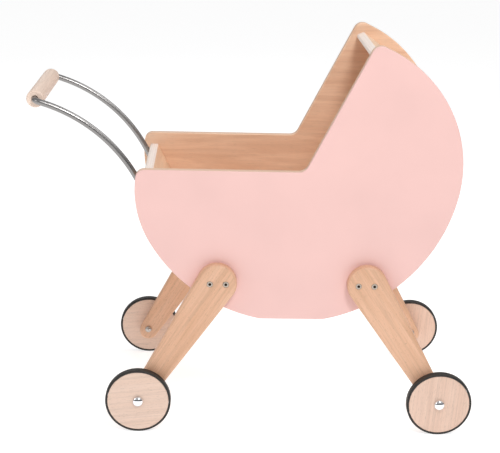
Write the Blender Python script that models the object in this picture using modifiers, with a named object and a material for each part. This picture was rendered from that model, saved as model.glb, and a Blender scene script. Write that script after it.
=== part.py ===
"""Doll's pram: two plywood side panels joined by flat boards, four splayed legs,
rubber-tyred wooden wheels on stub bolts, and a wooden grip on two bent steel rods.

Metres, +Z up, +X towards the hood, origin on the ground under the middle of the
bounding box. Everything is laid out from the middle of the wheelbase and hangs
on one empty, which shifts it to that origin.
"""
import math

import bmesh
import bpy
from mathutils import Matrix, Vector

# ---------------------------------------------------------------- driving dimensions
GAP = 0.0003                   # between pieces that touch
SHAFT_CLEARANCE = 0.0004       # on the radius, round a bolt, screw, dowel or rod
TURNING_CLEARANCE = 0.0005     # at each side of a wheel

# Side panels: a round body with a flat foot, a straight belt and a hood
BODY_WIDTH = 0.2346            # over the painted faces
PANEL_THICKNESS = 0.012
BODY_RADIUS = 0.2147
BODY_CENTRE_Z = 0.3607
BODY_FOOT_CUT = 0.0040         # the flat foot lies this far above the round's lowest point
BELT_Z = 0.3480                # top edge of the crib
TAIL_RADIUS = 0.1378           # tighter curve under the belt, handle end
TAIL_BLEND_ANGLE = 210.4       # where it leaves the body circle
HOOD_RADIUS = 0.1688           # curve of the hood
HOOD_BLEND_ANGLE = -11.1       # where it leaves the body circle
HOOD_FRONT_X = 0.0124          # where the hood's front edge meets the belt
HOOD_LEAN = 26.8               # of the front edge, from vertical
HOOD_TIP_Z = 0.5145            # height of the tip before rounding
TIP_FILLET = 0.013
BELT_FILLET = 0.013            # inside corner between belt and hood
TAIL_FILLET = 0.011            # outside corner of the belt
PANEL_EDGE_RADIUS = 0.0012

# Boards between the side panels
BOARD_THICKNESS = 0.012
FLOOR_ABOVE_FOOT = 0.0515      # middle of the floor board
END_BOARD_DROP = 0.016         # its top edge lies this far below the belt
END_BOARD_INSET = 0.00623      # outer corner of its top edge, inside the tail
END_BOARD_LEAN = 27.0          # from vertical
HOOD_REVEAL = 0.0115           # hood boards lie this far inside the rim
HOOD_BOARD_ANGLES = (-25.0, 4.0, 29.0, 52.9)   # their joints, about the body centre
HOOD_LIP_TURN = 32.0           # the lip's cut leans back this much from square
FREE_EDGE_RADIUS = 0.0035      # on the two edges that hands and dolls meet
DOWEL_RADIUS = 0.003
DOWEL_LENGTH = 0.022
DOWEL_IN_PANEL = 0.008
DOWEL_CHAMFER = 0.0008

# Legs
LEG_THICKNESS = 0.015
LEG_HEAD_RADIUS = 0.0260
LEG_FOOT_RADIUS = 0.0130
LEG_SCREW_X = 0.0962           # middle of the screws, from the middle of the wheelbase
LEG_HEAD_OFFSET = 0.0013       # the round head's centre is this far outboard of them
LEG_FOOT_BEYOND_AXLE = 0.003   # along the leg
LEG_FOOT_INBOARD = 0.002       # across the leg
LEG_EDGE_RADIUS = 0.0035
LEG_SCREW_SPACING = 0.0206
LEG_SCREW_LENGTH = 0.050
LEG_SCREW_RADIUS = 0.0024
LEG_SCREW_HEAD_RADIUS = 0.0038
LEG_SCREW_HEAD_DEPTH = 0.0024
LEG_SCREW_TIP = 0.004
HEX_SOCKET_RADIUS = 0.0018
HEX_SOCKET_DEPTH = 0.0016

# Wheels
WHEELBASE = 0.3968
WHEEL_RADIUS = 0.043           # over the tyre
WHEEL_WIDTH = 0.010
TYRE_THICKNESS = 0.0027
TYRE_CHAMFER = 0.0007
BOLT_RADIUS = 0.003
BOLT_HEAD_RADIUS = 0.007
BOLT_HEAD_HEIGHT = 0.0052
BOLT_HEAD_RIM = 0.0010         # straight side under the dome
WASHER_RADIUS = 0.0075
WASHER_THICKNESS = 0.0023
NUT_RADIUS = 0.0048
NUT_HEIGHT = 0.0042
NUT_ENGAGEMENT = 0.0026        # bolt inside the nut

# Handle
ROD_RADIUS = 0.004
ROD_FROM_PANEL = 0.01205       # centre line to the side panel, at the end board
ROD_BESIDE_GRIP = 0.00925      # centre line beyond the grip's end
ROD_BEND_RADIUS = 0.2038       # of the long curve
ROD_SWEEP = 49.3               # turned by the long curve, end board to grip
ROD_CONTACT = 0.0063           # below the top edge, where the rod leaves the board
ROD_TAIL = 0.070               # straight length screwed to the board
ROD_CORNER_RADIUS = 0.009      # bend into the grip
ROD_IN_GRIP = 0.035
GRIP_RADIUS = 0.0112
GRIP_LENGTH = 0.168
GRIP_EDGE_RADIUS = 0.002
ROD_SCREW_FROM_END = (0.012, 0.048)
ROD_SCREW_RADIUS = 0.0015
ROD_SCREW_HEAD_RADIUS = 0.0033
ROD_SCREW_HEAD_HEIGHT = 0.0016
ROD_SCREW_LENGTH = 0.018

# Facets
ARC_STEP = 4.5                 # degrees in a large curve
FILLET_STEP = 18.0             # degrees in a small curve
WHEEL_STEPS = 36
FASTENER_STEPS = 14

# ---------------------------------------------------------------- derived dimensions
panel_outer_y = BODY_WIDTH / 2
panel_inner_y = panel_outer_y - PANEL_THICKNESS
leg_inner_y = panel_outer_y + GAP
leg_outer_y = leg_inner_y + LEG_THICKNESS
washer_y = leg_outer_y + GAP
wheel_inner_y = washer_y + WASHER_THICKNESS + TURNING_CLEARANCE
wheel_outer_y = wheel_inner_y + WHEEL_WIDTH
bolt_head_y = wheel_outer_y + TURNING_CLEARANCE
axle_x = WHEELBASE / 2
bolt_hole_radius = BOLT_RADIUS + SHAFT_CLEARANCE
disc_radius = WHEEL_RADIUS - TYRE_THICKNESS - GAP
end_board_top_z = BELT_Z - END_BOARD_DROP
body_foot_z = BODY_CENTRE_Z - BODY_RADIUS + BODY_FOOT_CUT
floor_mid_z = body_foot_z + FLOOR_ABOVE_FOOT
floor_bottom_z = floor_mid_z - BOARD_THICKNESS / 2
rod_y = panel_inner_y - ROD_FROM_PANEL
grip_rod_y = GRIP_LENGTH / 2 + ROD_BESIDE_GRIP

SIDES = {"right": -1, "left": 1}
ENDS = {"rear": -1, "front": 1}


# ---------------------------------------------------------------- plane geometry (x, z)
def polar(degrees):
    """Unit vector at an angle from +X towards +Z."""
    return Vector((math.cos(math.radians(degrees)), math.sin(math.radians(degrees))))


def angle_of(vector):
    """Angle of a plane vector from +X, in degrees."""
    return math.degrees(math.atan2(vector.y, vector.x))


def arc(centre, radius, start, end, step=ARC_STEP):
    """Points along an arc, both ends included."""
    count = max(2, math.ceil(abs(end - start) / step))
    return [centre + radius * polar(start + (end - start) * i / count) for i in range(count + 1)]


def fillet(before, corner, after, radius):
    """Points of the arc that rounds a corner between two straight lines."""
    to_before = (before - corner).normalized()
    to_after = (after - corner).normalized()
    half_angle = to_before.angle(to_after) / 2
    centre = corner + (to_before + to_after).normalized() * radius / math.sin(half_angle)
    first = corner + to_before * radius / math.tan(half_angle)
    last = corner + to_after * radius / math.tan(half_angle)
    start = angle_of(first - centre)
    turn = (angle_of(last - centre) - start + 180) % 360 - 180
    return arc(centre, radius, start, start + turn, FILLET_STEP)


def meet(point_a, along_a, point_b, along_b):
    """Where two straight lines cross."""
    across_b = Vector((-along_b.y, along_b.x))
    reach = (point_b - point_a).dot(across_b) / along_a.dot(across_b)
    return point_a + along_a * reach


def ray_to_circle(start, along, centre, radius):
    """Where a ray from inside a circle leaves it."""
    offset = start - centre
    along_offset = offset.dot(along)
    reach = -along_offset + math.sqrt(along_offset ** 2 - offset.length_squared + radius ** 2)
    return start + along * reach


# ---------------------------------------------------------------- side panel outline
body_centre = Vector((0.0, BODY_CENTRE_Z))
hood_centre = body_centre + (BODY_RADIUS - HOOD_RADIUS) * polar(HOOD_BLEND_ANGLE)
tail_centre = body_centre + (BODY_RADIUS - TAIL_RADIUS) * polar(TAIL_BLEND_ANGLE)
front_edge = polar(90 - HOOD_LEAN)
belt_corner = Vector((HOOD_FRONT_X, BELT_Z))
tip_corner = belt_corner + front_edge * (HOOD_TIP_Z - BELT_Z) / front_edge.y
end_board_top = Vector((tail_centre.x - TAIL_RADIUS + END_BOARD_INSET, end_board_top_z))


def panel_outline():
    """The side panel's edge, anticlockwise from the left end of its foot."""
    foot_drop = math.degrees(math.asin((BODY_CENTRE_Z - body_foot_z) / BODY_RADIUS))
    to_tip = tip_corner - hood_centre
    rim_angle = angle_of(to_tip) - math.degrees(math.acos(HOOD_RADIUS / to_tip.length))
    rim_end = hood_centre + HOOD_RADIUS * polar(rim_angle)
    tail_rise = BELT_Z - TAIL_FILLET - tail_centre.y
    tail_run = math.sqrt((TAIL_RADIUS - TAIL_FILLET) ** 2 - tail_rise ** 2)
    tail_corner = tail_centre + Vector((-tail_run, tail_rise))
    tail_start = angle_of(tail_corner - tail_centre)
    belt_end = Vector((tail_corner.x, BELT_Z))

    outline = arc(body_centre, BODY_RADIUS, -foot_drop, HOOD_BLEND_ANGLE)
    outline += arc(hood_centre, HOOD_RADIUS, HOOD_BLEND_ANGLE, rim_angle)[1:]
    outline += fillet(rim_end, tip_corner, belt_corner, TIP_FILLET)
    outline += fillet(tip_corner, belt_corner, belt_end, BELT_FILLET)
    outline += arc(tail_corner, TAIL_FILLET, 90, tail_start, FILLET_STEP)
    outline += arc(tail_centre, TAIL_RADIUS, tail_start, TAIL_BLEND_ANGLE)[1:]
    outline += arc(body_centre, BODY_RADIUS, TAIL_BLEND_ANGLE, 180 + foot_drop)[1:]
    return outline


# ---------------------------------------------------------------- board layout
def rim_point(degrees):
    """A point inside the rim by the reveal, at an angle about the body's centre."""
    centre, radius = body_centre, BODY_RADIUS
    if degrees > HOOD_BLEND_ANGLE:
        centre, radius = hood_centre, HOOD_RADIUS
    return ray_to_circle(body_centre, polar(degrees), centre, radius - HOOD_REVEAL)


def board_corners():
    """Outer corners of the chain of boards, from the end board's top to the hood's lip."""
    down_board = polar(END_BOARD_LEAN - 90)
    floor_start = meet(end_board_top, down_board, Vector((0, floor_bottom_z)), Vector((1, 0)))
    inner_radius = BODY_RADIUS - HOOD_REVEAL
    floor_end_x = math.sqrt(inner_radius ** 2 - (BODY_CENTRE_Z - floor_bottom_z) ** 2)
    floor_end = Vector((floor_end_x, floor_bottom_z))
    return [end_board_top, floor_start, floor_end] + [rim_point(angle) for angle in HOOD_BOARD_ANGLES]


def board_profiles():
    """Outlines of the boards in the chain, mitred to each other with a gap."""
    corners = board_corners()
    runs = [(b - a).normalized() for a, b in zip(corners, corners[1:])]
    inward = [Vector((-run.y, run.x)) for run in runs]
    lip_cut = Matrix.Rotation(math.radians(-HOOD_LIP_TURN), 2) @ inward[-1]
    cuts = [Vector((1, 0))]
    for before, after in zip(inward, inward[1:]):
        cuts.append((before + after).normalized())
    cuts.append(lip_cut)

    profiles = []
    for i, run in enumerate(runs):
        start, end = corners[i], corners[i + 1]
        if i > 0:
            start = start + run * GAP
        if i < len(runs) - 1:
            end = end - run * GAP
        inner_line = start + inward[i] * BOARD_THICKNESS
        inner_start = meet(start, cuts[i], inner_line, run)
        inner_end = meet(end, cuts[i + 1], inner_line, run)
        profiles.append([start, end, inner_end, inner_start])
    return profiles


def round_free_edges(profile, first, second):
    """The profile with two of its corners rounded."""
    outline = []
    for i, corner in enumerate(profile):
        if i in (first, second):
            outline += fillet(profile[i - 1], corner, profile[(i + 1) % 4], FREE_EDGE_RADIUS)
        else:
            outline.append(corner)
    return outline


# ---------------------------------------------------------------- scene helpers
for old in list(bpy.data.objects):
    bpy.data.objects.remove(old, do_unlink=True)

parts = bpy.data.collections.new("doll_pram")
cutters = bpy.data.collections.new("doll_pram_cutters")
bpy.context.scene.collection.children.link(parts)
bpy.context.scene.collection.children.link(cutters)


def make_material(name, colour, roughness, metallic=0.0):
    """A plain Principled material."""
    material = bpy.data.materials.new(name)
    material.use_nodes = True
    shader = material.node_tree.nodes["Principled BSDF"]
    shader.inputs["Base Color"].default_value = (*colour, 1.0)
    shader.inputs["Roughness"].default_value = roughness
    shader.inputs["Metallic"].default_value = metallic
    return material


PINK = make_material("pink_paint", (0.89, 0.60, 0.56), 0.45)
BIRCH = make_material("birch_plywood", (0.76, 0.50, 0.31), 0.55)
BEECH = make_material("beech", (0.74, 0.45, 0.29), 0.5)
PALE_WOOD = make_material("pale_beech", (0.83, 0.62, 0.50), 0.55)
RUBBER = make_material("black_rubber", (0.02, 0.018, 0.018), 0.6)
CHROME = make_material("chrome", (0.75, 0.76, 0.78), 0.08, 1.0)
STEEL = make_material("satin_steel", (0.42, 0.41, 0.41), 0.3, 1.0)


def empty(name, location, parent=None):
    """A marker that other objects hang on."""
    marker = bpy.data.objects.new(name, None)
    marker.location = location
    marker.parent = parent
    parts.objects.link(marker)
    return marker


def add_object(name, mesh, material, parent, cutter=False):
    """Link a mesh as a part, or as a hidden cutter."""
    thing = bpy.data.objects.new(name, mesh)
    thing.parent = parent
    if cutter:
        thing.hide_render = True
        thing.display_type = "WIRE"
        cutters.objects.link(thing)
    else:
        mesh.materials.append(material)
        parts.objects.link(thing)
    return thing


def mesh_from_curve(curve, name):
    """The closed mesh of a filled or capped curve."""
    source = bpy.data.objects.new(name + "_curve", curve)
    bpy.context.scene.collection.objects.link(source)
    bpy.context.view_layer.update()
    evaluated = source.evaluated_get(bpy.context.evaluated_depsgraph_get())
    mesh = bpy.data.meshes.new_from_object(evaluated)
    mesh.name = name
    bm = bmesh.new()
    bm.from_mesh(mesh)
    bmesh.ops.remove_doubles(bm, verts=bm.verts, dist=1e-6)
    bmesh.ops.dissolve_limit(bm, angle_limit=1e-4, verts=[], edges=bm.edges)
    bmesh.ops.recalc_face_normals(bm, faces=bm.faces)
    bm.to_mesh(mesh)
    bm.free()
    bpy.data.objects.remove(source, do_unlink=True)
    bpy.data.curves.remove(curve)
    return mesh


def plate(name, outline, thickness, middle_y, material, parent):
    """A flat piece: an outline in x and z, thick along y."""
    curve = bpy.data.curves.new(name, "CURVE")
    curve.dimensions = "2D"
    curve.fill_mode = "BOTH"
    curve.extrude = thickness / 2
    spline = curve.splines.new("POLY")
    spline.points.add(len(outline) - 1)
    for point, place in zip(spline.points, outline):
        point.co = (place.x, place.y, 0, 1)
    spline.use_cyclic_u = True
    mesh = mesh_from_curve(curve, name)
    mesh.transform(Matrix.Rotation(math.radians(90), 4, "X"))
    piece = add_object(name, mesh, material, parent)
    piece.location.y = middle_y
    return piece


def rod_mesh(name, path, radius):
    """A round bar along a path of points."""
    curve = bpy.data.curves.new(name, "CURVE")
    curve.dimensions = "3D"
    curve.bevel_depth = radius
    curve.bevel_resolution = 3
    curve.use_fill_caps = True
    spline = curve.splines.new("POLY")
    spline.points.add(len(path) - 1)
    for point, place in zip(spline.points, path):
        point.co = (*place, 1)
    mesh = mesh_from_curve(curve, name)
    mesh.shade_smooth()
    mesh.set_sharp_from_angle(angle=math.radians(40))
    return mesh


def turned(name, profile, steps, material, parent, closed=False, cutter=False):
    """A turned piece: (radius, height) points down its outer side, spun about local Z."""
    mesh = bpy.data.meshes.new(name)
    bm = bmesh.new()
    verts = [bm.verts.new((radius, 0, height)) for radius, height in profile]
    for first, second in zip(verts, verts[1:]):
        bm.edges.new((first, second))
    if closed:
        bm.edges.new((verts[-1], verts[0]))
    bm.to_mesh(mesh)
    bm.free()
    piece = add_object(name, mesh, material, parent, cutter)
    screw = piece.modifiers.new("turn", "SCREW")
    screw.axis = "Z"
    screw.angle = math.radians(360)
    screw.steps = steps
    screw.render_steps = steps
    screw.use_merge_vertices = True
    screw.merge_threshold = 1e-5
    screw.use_smooth_shade = True
    return piece


def ring_profile(inner, outer, bottom, top, chamfer=0.0):
    """Cross-section of a ring, with chamfers on its outer corners if wanted."""
    if chamfer == 0.0:
        return [(inner, top), (outer, top), (outer, bottom), (inner, bottom)]
    return [(inner, top), (outer - chamfer, top), (outer, top - chamfer),
            (outer, bottom + chamfer), (outer - chamfer, bottom), (inner, bottom)]


def point_along_y(piece, location, side):
    """Turn a piece's local Z to face outwards on one side, and place it."""
    piece.rotation_euler.x = math.radians(-90 * side)
    piece.location = location


def bevel(piece, width, segments):
    """Round the piece's sharp edges."""
    modifier = piece.modifiers.new("edges", "BEVEL")
    modifier.width = width
    modifier.segments = segments
    modifier.limit_method = "ANGLE"
    modifier.angle_limit = math.radians(50)


def cut(piece, tools):
    """Cut each tool's shape out of the piece."""
    for tool in tools:
        modifier = piece.modifiers.new(tool.name, "BOOLEAN")
        modifier.operation = "DIFFERENCE"
        modifier.object = tool


# ---------------------------------------------------------------- handle layout
end_board_down = polar(END_BOARD_LEAN - 90)
end_board_out = Vector((end_board_down.y, -end_board_down.x))


def rod_plane_path():
    """The rod's centre line in its own plane, from its lower end to the grip's axis."""
    surface = end_board_top + end_board_down * ROD_CONTACT
    contact = surface + end_board_out * (ROD_RADIUS + GAP)
    tail_end = contact + end_board_down * ROD_TAIL
    bend_centre = contact + end_board_out * ROD_BEND_RADIUS
    start = angle_of(contact - bend_centre)
    return tail_end, arc(bend_centre, ROD_BEND_RADIUS, start, start + ROD_SWEEP)


rod_tail_end, rod_curve = rod_plane_path()
grip_at = rod_curve[-1]
origin_x = (grip_at.x - GRIP_RADIUS + axle_x + WHEEL_RADIUS) / 2
pram = empty("pram_origin", (-origin_x, 0, 0))


# ---------------------------------------------------------------- joinery tools
def leg_screw_cutter(name, location, side):
    """Hole for a leg screw, with its countersink opening outwards."""
    hole = LEG_SCREW_RADIUS + SHAFT_CLEARANCE
    head = LEG_SCREW_HEAD_RADIUS + SHAFT_CLEARANCE
    length = LEG_SCREW_LENGTH + GAP
    profile = [(0, LEG_THICKNESS), (head, LEG_THICKNESS), (head, 0),
               (hole, -LEG_SCREW_HEAD_DEPTH), (hole, -length), (0, -length)]
    tool = turned(name, profile, FASTENER_STEPS, None, pram, cutter=True)
    point_along_y(tool, location, side)
    return tool


def straight_cutter(name, radius, length, location, side):
    """A plain round hole through a location along y, half its length each way."""
    profile = [(0, length / 2), (radius, length / 2), (radius, -length / 2), (0, -length / 2)]
    tool = turned(name, profile, FASTENER_STEPS, None, pram, cutter=True)
    point_along_y(tool, location, side)
    return tool


def leg_screw_places():
    """Name, location and side of each leg screw."""
    places = []
    for end_name, end in ENDS.items():
        for side_name, side in SIDES.items():
            for i, shift in enumerate((-LEG_SCREW_SPACING / 2, LEG_SCREW_SPACING / 2)):
                name = f"{end_name}_{side_name}_{i + 1}"
                x = end * LEG_SCREW_X + shift
                places.append((name, Vector((x, side * leg_outer_y, floor_mid_z)), side))
    return places


# ---------------------------------------------------------------- body
def make_boards():
    """The six boards between the panels, with their free edges rounded."""
    names = ("end_board", "floor_board", "hood_lower_board", "hood_back_board",
             "hood_upper_board", "hood_top_board")
    width = 2 * (panel_inner_y - GAP)
    profiles = board_profiles()
    profiles[0] = round_free_edges(profiles[0], 0, 3)
    profiles[-1] = round_free_edges(profiles[-1], 1, 2)
    return [plate(name, outline, width, 0, BIRCH, pram) for name, outline in zip(names, profiles)]


def make_dowels(boards, panels):
    """A blind dowel in each end of every board but the floor, which the leg screws hold."""
    hole_length = DOWEL_LENGTH + 2 * GAP
    middle_y = panel_inner_y + DOWEL_IN_PANEL - DOWEL_LENGTH / 2
    corner, flat = DOWEL_RADIUS - DOWEL_CHAMFER, DOWEL_LENGTH / 2 - DOWEL_CHAMFER
    profile = [(0, DOWEL_LENGTH / 2), (corner, DOWEL_LENGTH / 2), (DOWEL_RADIUS, flat),
               (DOWEL_RADIUS, -flat), (corner, -DOWEL_LENGTH / 2), (0, -DOWEL_LENGTH / 2)]
    for board, outline in zip(boards, board_profiles()):
        if board.name == "floor_board":
            continue
        middle = sum(outline, Vector((0, 0))) / len(outline)
        for side_name, side in SIDES.items():
            at = Vector((middle.x, side * middle_y, middle.y))
            name = f"{board.name}_{side_name}"
            dowel = turned("dowel_" + name, profile, FASTENER_STEPS, PALE_WOOD, pram)
            point_along_y(dowel, at, side)
            tool = straight_cutter("hole_dowel_" + name, DOWEL_RADIUS + SHAFT_CLEARANCE,
                                   hole_length, at, side)
            cut(board, [tool])
            cut(panels[side_name], [tool])


def make_panels():
    """The two side panels, painted outside."""
    outline = panel_outline()
    middle_y = panel_outer_y - PANEL_THICKNESS / 2
    panels = {}
    for side_name, side in SIDES.items():
        panel = plate("side_panel_" + side_name, outline, PANEL_THICKNESS, side * middle_y,
                      PINK, pram)
        bevel(panel, PANEL_EDGE_RADIUS, 2)
        panels[side_name] = panel
    return panels


# ---------------------------------------------------------------- legs
def leg_outline(end):
    """A tapered leg, round at the head and at the axle."""
    head = Vector((end * (LEG_SCREW_X + LEG_HEAD_OFFSET), floor_mid_z))
    axle = Vector((end * axle_x, WHEEL_RADIUS))
    down_leg = (axle - head).normalized()
    inboard = -end * Vector((-down_leg.y, down_leg.x))
    foot = axle + down_leg * LEG_FOOT_BEYOND_AXLE + inboard * LEG_FOOT_INBOARD
    along = foot - head
    taper = math.degrees(math.asin((LEG_HEAD_RADIUS - LEG_FOOT_RADIUS) / along.length))
    lean = angle_of(along)
    step = FILLET_STEP
    outline = arc(head, LEG_HEAD_RADIUS, lean + 90 - taper, lean + 270 + taper, step)
    outline += arc(foot, LEG_FOOT_RADIUS, lean - 90 + taper, lean + 90 - taper, step)
    return outline


def make_legs(screw_tools):
    """Four legs on the outer faces of the panels."""
    middle_y = leg_inner_y + LEG_THICKNESS / 2
    for end_name, end in ENDS.items():
        outline = leg_outline(end)
        for side_name, side in SIDES.items():
            name = f"{end_name}_{side_name}"
            leg = plate("leg_" + name, outline, LEG_THICKNESS, side * middle_y, BEECH, pram)
            bevel(leg, LEG_EDGE_RADIUS, 2)
            at = Vector((end * axle_x, side * middle_y, WHEEL_RADIUS))
            bore = straight_cutter("hole_bolt_" + name, bolt_hole_radius,
                                   2 * LEG_THICKNESS, at, side)
            cut(leg, [bore] + [tool for tool in screw_tools if name in tool.name])


def make_leg_screws():
    """Countersunk screws with a hex socket, through leg and panel into the floor board."""
    profile = [(0, 0), (LEG_SCREW_HEAD_RADIUS, 0), (LEG_SCREW_RADIUS, -LEG_SCREW_HEAD_DEPTH),
               (LEG_SCREW_RADIUS, LEG_SCREW_TIP - LEG_SCREW_LENGTH), (0, -LEG_SCREW_LENGTH)]
    socket = [(0, HEX_SOCKET_DEPTH), (HEX_SOCKET_RADIUS, HEX_SOCKET_DEPTH),
              (HEX_SOCKET_RADIUS, -HEX_SOCKET_DEPTH), (0, -HEX_SOCKET_DEPTH)]
    tools = []
    for name, at, side in leg_screw_places():
        screw = turned("leg_screw_" + name, profile, FASTENER_STEPS, STEEL, pram)
        point_along_y(screw, at, side)
        hexagon = turned("socket_leg_screw_" + name, socket, 6, None, pram, cutter=True)
        point_along_y(hexagon, at, side)
        cut(screw, [hexagon])
        tools.append(leg_screw_cutter("hole_leg_screw_" + name, at, side))
    return tools


# ---------------------------------------------------------------- wheels
def dome(radius, base, top, count=4):
    """Profile of a dome, from its crown down to its rim."""
    points = []
    for i in range(count + 1):
        angle = math.radians(90 * i / count)
        points.append((radius * math.sin(angle), base + (top - base) * math.cos(angle)))
    return points


def make_wheel(name, end, side):
    """A wooden disc and its tyre, turning on a stub bolt through the leg."""
    axle = Vector((end * axle_x, 0, WHEEL_RADIUS))
    hub = empty("axis_wheel_" + name, axle + Vector((0, side * wheel_inner_y, 0)), pram)
    disc = turned("wheel_disc_" + name, ring_profile(bolt_hole_radius, disc_radius, 0, WHEEL_WIDTH),
                  WHEEL_STEPS, PALE_WOOD, hub, closed=True)
    tyre = turned("tyre_" + name, ring_profile(disc_radius + GAP, WHEEL_RADIUS, 0, WHEEL_WIDTH,
                                               TYRE_CHAMFER),
                  WHEEL_STEPS, RUBBER, hub, closed=True)
    for piece in (disc, tyre):
        point_along_y(piece, (0, 0, 0), side)

    washer = turned("washer_" + name, ring_profile(bolt_hole_radius, WASHER_RADIUS, 0,
                                                   WASHER_THICKNESS),
                    FASTENER_STEPS, STEEL, pram, closed=True)
    point_along_y(washer, axle + Vector((0, side * washer_y, 0)), side)

    nut_y = leg_inner_y - GAP
    shank_end = nut_y - NUT_ENGAGEMENT - bolt_head_y
    head = dome(BOLT_HEAD_RADIUS, BOLT_HEAD_RIM, BOLT_HEAD_HEIGHT)
    profile = head + [(BOLT_HEAD_RADIUS, 0), (BOLT_RADIUS, 0), (BOLT_RADIUS, shank_end),
                      (0, shank_end)]
    bolt = turned("wheel_bolt_" + name, profile, FASTENER_STEPS, CHROME, pram)
    point_along_y(bolt, axle + Vector((0, side * bolt_head_y, 0)), side)

    bore_end = -NUT_ENGAGEMENT - GAP
    profile = [(0, bore_end), (bolt_hole_radius, bore_end), (bolt_hole_radius, 0),
               (NUT_RADIUS, 0)]
    profile += [(radius, -height) for radius, height in reversed(dome(NUT_RADIUS, 0.0012,
                                                                      NUT_HEIGHT, 3))]
    nut = turned("cap_nut_" + name, profile, FASTENER_STEPS, STEEL, pram)
    point_along_y(nut, axle + Vector((0, side * nut_y, 0)), side)


# ---------------------------------------------------------------- handle
def rod_path(side):
    """The rod's centre line in space: eased across to the grip's end and bent into it."""
    inward = Vector((0, -side, 0))
    path = [Vector((rod_tail_end.x, side * rod_y, rod_tail_end.y))]
    for i, point in enumerate(rod_curve):
        if (point - grip_at).length > 1.5 * ROD_CORNER_RADIUS:
            share = i / (len(rod_curve) - 1)
            y = rod_y + (grip_rod_y - rod_y) * share * share * (3 - 2 * share)
            path.append(Vector((point.x, side * y, point.y)))
    run = (rod_curve[-1] - rod_curve[-2]).normalized()
    along = Vector((run.x, 0, run.y))
    corner = Vector((grip_at.x, side * grip_rod_y, grip_at.y))
    count = 6
    for i in range(count + 1):
        angle = math.radians(90 * i / count)
        forward = ROD_CORNER_RADIUS * (math.sin(angle) - 1)
        sideways = ROD_CORNER_RADIUS * (1 - math.cos(angle))
        path.append(corner + along * forward + inward * sideways)
    path.append(corner + inward * (ROD_BESIDE_GRIP + ROD_IN_GRIP))
    return path


def rod_screw_frame(distance, side):
    """Where a rod screw stands on the rod, and its turn about y."""
    middle = rod_tail_end - end_board_down * distance
    at = Vector((middle.x, side * rod_y, middle.y))
    tilt = math.radians(90 - angle_of(end_board_out))
    return at, tilt


def make_handle(end_board):
    """Two bent rods screwed to the end board, with a turned grip between them."""
    head_z = ROD_RADIUS - 0.0006
    tip_z = head_z - ROD_SCREW_LENGTH
    profile = dome(ROD_SCREW_HEAD_RADIUS, head_z + 0.0004, head_z + ROD_SCREW_HEAD_HEIGHT, 3)
    profile += [(ROD_SCREW_HEAD_RADIUS, head_z), (ROD_SCREW_RADIUS, head_z),
                (ROD_SCREW_RADIUS, tip_z + 0.002), (0, tip_z)]
    hole = ROD_SCREW_RADIUS + SHAFT_CLEARANCE
    seat = ROD_SCREW_HEAD_RADIUS + SHAFT_CLEARANCE
    reach = 2 * ROD_RADIUS
    tool_profile = [(0, reach), (seat, reach), (seat, head_z - GAP), (hole, head_z - GAP),
                    (hole, tip_z - GAP), (0, tip_z - GAP)]
    for side_name, side in SIDES.items():
        name = "handle_rod_" + side_name
        rod = add_object(name, rod_mesh(name, rod_path(side), ROD_RADIUS), STEEL, pram)
        for i, distance in enumerate(ROD_SCREW_FROM_END):
            at, tilt = rod_screw_frame(distance, side)
            label = f"{side_name}_{i + 1}"
            screw = turned("rod_screw_" + label, profile, FASTENER_STEPS, STEEL, pram)
            tool = turned("hole_rod_screw_" + label, tool_profile, FASTENER_STEPS, None, pram,
                          cutter=True)
            for thing in (screw, tool):
                thing.location = at
                thing.rotation_euler.y = tilt
            cut(rod, [tool])
            cut(end_board, [tool])

    edge = GRIP_EDGE_RADIUS
    half = GRIP_LENGTH / 2
    bore = ROD_RADIUS + SHAFT_CLEARANCE
    bottom = half - ROD_IN_GRIP - GAP
    end_round = [(GRIP_RADIUS - edge + edge * math.sin(math.radians(30 * i)),
                  half - edge + edge * math.cos(math.radians(30 * i))) for i in range(4)]
    upper = [(0, bottom), (bore, bottom), (bore, half)] + end_round
    lower = [(radius, -height) for radius, height in reversed(upper)]
    grip = turned("grip", upper + lower, 24, PALE_WOOD, pram)
    point_along_y(grip, Vector((grip_at.x, 0, grip_at.y)), 1)


# ---------------------------------------------------------------- assembly
side_panels = make_panels()
body_boards = make_boards()
make_dowels(body_boards, side_panels)
leg_screw_tools = make_leg_screws()
make_legs(leg_screw_tools)
for screw_tool in leg_screw_tools:
    panel_side = "right" if "_right_" in screw_tool.name else "left"
    cut(side_panels[panel_side], [screw_tool])
    cut(body_boards[1], [screw_tool])
for wheel_end_name, wheel_end in ENDS.items():
    for wheel_side_name, wheel_side in SIDES.items():
        make_wheel(f"{wheel_end_name}_{wheel_side_name}", wheel_end, wheel_side)
make_handle(body_boards[0])
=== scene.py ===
"""Looks of the doll's pram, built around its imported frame.

Plywood side panels painted on the outside, plain birch boards, beech legs and wheels,
rubber tyres, domed bolts and a wooden grip on two bent steel rods. Metres, in the
frame's own axes: +X towards the hood, +Z up.
"""
import math

import bmesh
import bpy
from mathutils import Matrix, Vector


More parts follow.
